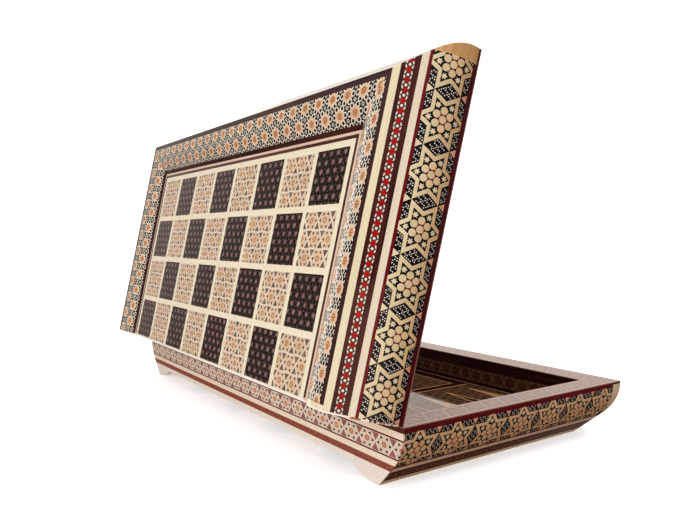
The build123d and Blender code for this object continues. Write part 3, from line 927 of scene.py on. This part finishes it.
HINGE_PLACES = (-150.0, 150.0)
SEAT_HALF, SEAT_REACH = 28.1, 17.1
BARREL_HALF, BARREL_REACH = 28.95, 2.95
RIM_LINE, RIM_PITCH = 2.1, (19.4, 16.8)
rims = []
for number, quarter in enumerate(("hinge", "right", "front", "left")):
    long_side = quarter in ("hinge", "front")
    wide = LONG_RIM if long_side else SIDE_RIM
    if quarter == "hinge":
        wide -= FACE_GAP
        seat, barrel = SEAT_REACH - FACE_GAP, BARREL_REACH - FACE_GAP
        notch = [(BARREL_HALF, 0), (BARREL_HALF, barrel), (SEAT_HALF, barrel), (SEAT_HALF, seat)]
        outline = [(-HALF_LENGTH, 0)]
        for place in HINGE_PLACES:
            outline += [(place - reach, inset) for reach, inset in notch]
            outline += [(place + reach, inset) for reach, inset in notch[::-1]]
        outline += [(HALF_LENGTH, 0), (WELL_HALF, wide), (-WELL_HALF, wide)]
    elif quarter == "front":
        outline = [(-HALF_LENGTH, 0), (HALF_LENGTH, 0), (WELL_HALF, wide), (-WELL_HALF, wide)]
    else:
        outline = [(FACE_GAP, 0), (WIDTH, 0), (WELL_FAR, wide), (WELL_NEAR, wide)]
    mosaic = Mosaic(outline, RIM_LINE_ROD, 61 + number)
    net(mosaic, *RIM_PITCH, (0.0, wide / 2), RIM_GROUND, RIM_MARK, RIM_LINE_ROD, RIM_MARK,
        ring=RIM_MARK, block=0.6)
    ends = (-HALF_LENGTH, HALF_LENGTH) if long_side else (FACE_GAP, WIDTH)
    inner = (-WELL_HALF, WELL_HALF) if long_side else (WELL_NEAR, WELL_FAR)
    mosaic.add(rectangle(ends[0], ends[1], 0.0, RIM_LINE), RIM_LINE_ROD)
    mosaic.add(rectangle(inner[0] - 5, inner[1] + 5, wide - RIM_LINE, wide), RIM_LINE_ROD)
    rims.append((mosaic, on_rim(quarter)))
both("rim_inlay", rims, "rim_veneers", RIM_VENEER)

# Walls of the well
wall_end = WELL_HALF + SKIN
wall_low, wall_high = WALL_TOP, WALL_TOP + WALL_BAND


def on_wall(side):
    """Mapping onto a wall of the well, from the run and the distance below the rim."""
    rim = LONG_RIM if side in ("hinge", "front") else SIDE_RIM
    return on_side(side, lambda level, depth: (rim - depth, HALF_HEIGHT - level))


WALL_PITCH = 15.0
walls = []
for number, side in enumerate(("hinge", "right", "front", "left")):
    run = (-wall_end, wall_end) if side in ("hinge", "front") else (WELL_NEAR, WELL_FAR)
    mosaic = Mosaic(rectangle(run[0], run[1], wall_low, wall_high), OAK, 71 + number)
    net(mosaic, WALL_PITCH, WALL_BAND, (0.0, (wall_low + wall_high) / 2), UMBER, UMBER, WINE, OAK,
        ring=BRICK, single=True)
    walls.append((mosaic, on_wall(side)))
both("wall_inlay", walls, "wall_bands")

# Floor of the well
GROUND_HALF = WELL_HALF - WELL_LINE
GROUND_NEAR = WELL_NEAR + WELL_LINE
GROUND_FAR = WELL_FAR - WELL_LINE
DIVIDER = CENTRE_HALF + WELL_LINE + SIDE_BAR
CENTRE_NEAR = GROUND_NEAR + LONG_BAR
CENTRE_FAR = GROUND_FAR - LONG_BAR
POINT_PITCH = (GROUND_FAR - GROUND_NEAR) / POINTS
POINT_BASE = POINT_PITCH - POINT_GAP
POINT_SHARE = 0.86  # of a point inside its tan outline
CENTRE_PITCH, GROUND_PITCH = (12.0, 10.4), (10.0, 8.7)


def on_floor(x, y, depth):
    return (x, y, WELL_FLOOR - depth)


def point_shape(index, turn):
    """Base corners and tip of a point, counted from the hinge line."""
    middle = GROUND_NEAR + (index + 0.5) * POINT_PITCH
    base = turn * GROUND_HALF
    tip = turn * (GROUND_HALF - POINT_LENGTH)
    return [(base, middle - POINT_BASE / 2), (base, middle + POINT_BASE / 2), (tip, middle)]


def ground_outline(turn):
    """Field of points at one end, less the points, whose bases stand on the end line."""
    corners = [(turn * (DIVIDER + WELL_LINE), GROUND_NEAR), (turn * GROUND_HALF, GROUND_NEAR)]
    for index in range(POINTS):
        low, high, tip = point_shape(index, turn)
        corners += [low, tip, high]
    return corners + [(turn * GROUND_HALF, GROUND_FAR), (turn * (DIVIDER + WELL_LINE), GROUND_FAR)]


panels = []
mosaic = Mosaic(rectangle(-CENTRE_HALF, CENTRE_HALF, CENTRE_NEAR, CENTRE_FAR), BROWN, 81)
net(mosaic, *CENTRE_PITCH, (0.0, WIDTH / 2), UMBER, WINE, ORANGE, OAK)
panels.append((mosaic, on_floor))
for turn in (-1, 1):
    mosaic = Mosaic(ground_outline(turn), UMBER, 83 + turn)
    net(mosaic, *GROUND_PITCH, (0.0, WIDTH / 2), BROWN, WINE, ORANGE, OAK, ring=UMBER)
    panels.append((mosaic, on_floor))
both("panel_inlay", panels, "well_panels")
for kind, substance in (("light", HONEY), ("dark", UMBER)):
    points = []
    for turn in (-1, 1):
        for index in range(POINTS):
            if ((index + (turn > 0)) % 2 == 0) == (kind == "light"):
                outline = point_shape(index, turn)
                mosaic = Mosaic(outline, TAN, 90 + index)
                mosaic.add(shrink(outline, POINT_SHARE), substance)
                points.append((mosaic, on_floor))
    both(f"{kind}_point_inlay", points, f"{kind}_points")


# ---------------------------------------------------------------- CAD nodes that stay
CORNER_WOOD = {
    "base": (srgb(222, 200, 162), srgb(242, 226, 194)),
    "lid": (srgb(196, 148, 92), srgb(224, 180, 124)),
}
TOP_STRIP = {
    "base": (srgb(76, 11, 20), srgb(114, 22, 34)),
    "lid": (srgb(60, 7, 13), srgb(90, 15, 23)),
}
UPPER_CREAM = {"base": srgb(248, 228, 206), "lid": srgb(234, 222, 198)}
BETWEEN_CREAMS = 0.44 * BULGE_FOOT
FOOT_HEIGHT = 13.0
CORNER_LINE = 2.2  # dark line across the corner pieces, under the rim
BRASS = brass("drawn_brass")
RAW = raw_wood("core_wood")


def dress(half, name, material):
    """One material on a CAD node."""
    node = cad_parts[f"{half}_{name}"]
    node.data.materials.clear()
    node.data.materials.append(material)


for half in HALVES:
    veneers = {
        "chess_lattice": ("lattice_veneer", srgb(228, 216, 186), srgb(243, 235, 211), 1.0, 0.2),
        "cream_strips": ("cream_veneer", srgb(224, 213, 176), srgb(240, 231, 198), 1.0, 0.25,
                         (UPPER_CREAM[half], higher_than(BETWEEN_CREAMS))),
        "back_cream_strips": ("foot_veneer", srgb(242, 222, 198), srgb(250, 236, 216), 0.8, 0.2,
                              (srgb(247, 240, 229), lower_than(FOOT_HEIGHT))),
        "brown_strips": ("brown_veneer", srgb(30, 9, 6), srgb(86, 32, 22), 1.2, 0.4),
        "field_lines": ("line_veneer", srgb(52, 22, 14), srgb(100, 54, 40), 1.2, 0.35,
                        (srgb(226, 198, 174), outside_field)),
        # The hinge face's top strip is dark brown: partly its own dark strip, partly painted shadow of the
        # lid above it.
        "back_brown_strips": ("face_veneer", srgb(122, 60, 46), srgb(160, 96, 78), 1.6, 0.4,
                              (srgb(86, 46, 40), higher_than(HALF_HEIGHT - BACK_DARK))),
        "wine_strips": ("wine_veneer", *TOP_STRIP[half], 1.4, 0.3,
                        (srgb(104, 7, 14), lower_than(BULGE_FOOT))),
        "well_dark_strips": ("well_veneer", srgb(22, 5, 8), srgb(52, 14, 18), 1.4, 0.3),
        "corner_fillers": ("corner_veneer", *CORNER_WOOD[half], 1.0, 0.3,
                           (srgb(58, 14, 16), higher_than(HALF_HEIGHT - CORNER_LINE))),
        "border_edge_strips": ("edge_veneer", srgb(34, 14, 12), srgb(74, 38, 32), 1.4, 0.4,
                               (srgb(236, 222, 190), left_end(CAP))),
        "well_lines": ("tan_veneer", srgb(170, 122, 72), srgb(214, 170, 114), 1.4, 0.3),
    }
    for node, (name, *look) in veneers.items():
        dress(half, node, veneer(name, half, *look))
    for name in ("left_rail", "right_rail", "front_rail", "hinge_rail", "board"):
        dress(half, name, RAW)
    for name in ("hinge_leaves", "hinge_screws"):
        dress(half, name, BRASS)
dress("base", "hinge_pins", BRASS)


# ---------------------------------------------------------------- floor, light, camera
FLOOR_HALF = 40.0
RING_STEPS, RING_DISTANCE, RING_LOW, RING_HIGH = 48, 30.0, -1.0, 25.0
PAPER_WHITES = (srgb(250, 250, 250), srgb(253, 253, 253))


def stage_piece(name, corners, faces):
    """A piece of the studio, seen only directly: it casts no shadow and nothing mirrors it."""
    mesh = bpy.data.meshes.new(name)
    mesh.from_pydata(corners, [], faces)
    made = bpy.data.objects.new(name, mesh)
    bpy.context.scene.collection.objects.link(made)
    made.visible_diffuse = False
    made.visible_glossy = False
    made.visible_shadow = False
    return made


def paper(name, fibre, roughness, glow):
    """White paper that glows, with a faint fibre given by its noise's scale, detail and roughness."""
    sheet = Surface(name)
    cloud = sheet.noise(sheet.place(), *fibre)
    sheet.give("Base Color", sheet.blend(sheet.fit(cloud, 0.3, 0.7, 0, 1), *PAPER_WHITES))
    sheet.give("Roughness", roughness)
    sheet.give("Emission Color", (1.0, 1.0, 1.0, 1.0))
    sheet.give("Emission Strength", glow)
    return sheet


square = rectangle(-FLOOR_HALF, FLOOR_HALF, -FLOOR_HALF, FLOOR_HALF)
floor = stage_piece("studio_floor", [(x, y, 0) for x, y in square], [(0, 1, 2, 3)])
floor_paper = paper("studio_paper", (60.0, 3.0, 0.6), 0.8, 0.5)
floor_paper.give("Specular IOR Level", 0.1)
floor.data.materials.append(floor_paper.material)
turns = [math.tau * i / RING_STEPS for i in range(RING_STEPS)]
ring = [(RING_DISTANCE * math.cos(turn), RING_DISTANCE * math.sin(turn)) for turn in turns]
backdrop = stage_piece(
    "studio_backdrop", [(x, y, RING_LOW) for x, y in ring] + [(x, y, RING_HIGH) for x, y in ring],
    [(i, j, j + RING_STEPS, i + RING_STEPS) for i, j in enumerate([*range(1, RING_STEPS), 0])],
)
backdrop.data.materials.append(paper("studio_screen", (3.0, 2.0, 0.5), 0.9, 1.0).material)

AZIMUTH, ELEVATION, ROLL = math.radians(-54.36), math.radians(-9.22), math.radians(0.31)
SCREEN_TILT, PANEL_AZIMUTH = math.radians(10), math.radians(-82)
ROOM, CEILING, BELOW = (0.16, 0.15, 0.15, 1.0), (0.85, 0.85, 0.86, 1.0), (0.10, 0.05, 0.03, 1.0)
SCREEN, PANEL = (1.15, 1.07, 0.99, 1.0), (2.5, 2.25, 2.0, 1.0)

# Studio: a white screen and a brighter panel behind the box, a soft ceiling and a dim room
world = bpy.data.worlds.new("studio")
world.use_nodes = True
bpy.context.scene.world = world
studio = Tree(world.node_tree)
toward = studio.nodes.new("ShaderNodeTexCoord").outputs["Generated"]
screen_run = math.cos(SCREEN_TILT)
screen_middle = (math.sin(AZIMUTH) * screen_run, math.cos(AZIMUTH) * screen_run, math.sin(SCREEN_TILT))
panel_middle = (math.sin(PANEL_AZIMUTH), math.cos(PANEL_AZIMUTH), 0.1)
height = studio.dot(toward, (0.0, 0.0, 1.0))
tone = ROOM
for amount, colour in (
    (studio.fit(height, 0.35, 0.9, 0.0, 1.0), CEILING),
    (studio.fit(height, -0.25, 0.0, 1.0, 0.0), BELOW),
    (studio.fit(studio.dot(toward, screen_middle), 0.50, 0.83, 0.0, 1.0), SCREEN),
    (studio.fit(studio.dot(toward, panel_middle), 0.93, 0.99, 0.0, 1.0), PANEL),
):
    tone = studio.blend(amount, tone, colour)
studio.put(studio.nodes["Background"].inputs["Color"], tone)
studio.nodes["Background"].inputs["Strength"].default_value = 1.0


def lamp(name, kind, power, toward_light):
    """A light that shines from a direction."""
    made = bpy.data.objects.new(name, bpy.data.lights.new(name, kind))
    made.data.energy = power
    made.rotation_euler = Vector(toward_light).to_track_quat("Z", "Y").to_euler()
    bpy.context.scene.collection.objects.link(made)
    return made


# A soft key light by the camera's left, a sun from above and one for the table's glow
KEY_PLACE, KEY_AIM = Vector((0.35, -1.45, 0.42)), Vector((0, 0, 0.15))
key = lamp("key_light", "AREA", 13.0, KEY_PLACE - KEY_AIM)
key.location = KEY_PLACE
key.data.shape = "DISK"
key.data.size = 0.8
key.visible_camera = False
for name, toward_light, spread, colour in (
    ("top_light", (0.3, 0.1, 0.9), 60, (1.0, 1.0, 1.0)),
    ("table_bounce", (0.60, -0.62, -0.5), 90, (1.0, 0.74, 0.62)),
):
    sun = lamp(name, "SUN", 0.9, toward_light)
    sun.data.color = colour
    sun.data.angle = math.radians(spread)

# Camera, fitted to the photo: its place is from the middle of the hinge line at the rim's height
EYE = (553.285, -260.825, 121.031)
run = math.cos(ELEVATION)
forward = Vector((math.sin(AZIMUTH) * run, math.cos(AZIMUTH) * run, math.sin(ELEVATION)))
right = Vector((math.cos(AZIMUTH), -math.sin(AZIMUTH), 0.0))
up = right.cross(forward)
across = right * math.cos(ROLL) + up * math.sin(ROLL)
upward = up * math.cos(ROLL) - right * math.sin(ROLL)
camera_data = bpy.data.cameras.new("camera")
camera_data.sensor_fit = "HORIZONTAL"
camera_data.sensor_width = 36.0
camera_data.lens = 32.493
camera_data.shift_y = 0.1142
camera = bpy.data.objects.new("camera", camera_data)
turned = Matrix((across, upward, -forward)).transposed().to_4x4()
place = Vector((EYE[0], EYE[1] - MIDDLE, EYE[2] + HALF_HEIGHT)) * MM
camera.matrix_world = Matrix.Translation(place) @ turned
bpy.context.scene.collection.objects.link(camera)
bpy.context.scene.camera = camera
bpy.context.scene.view_settings.view_transform = "Standard"
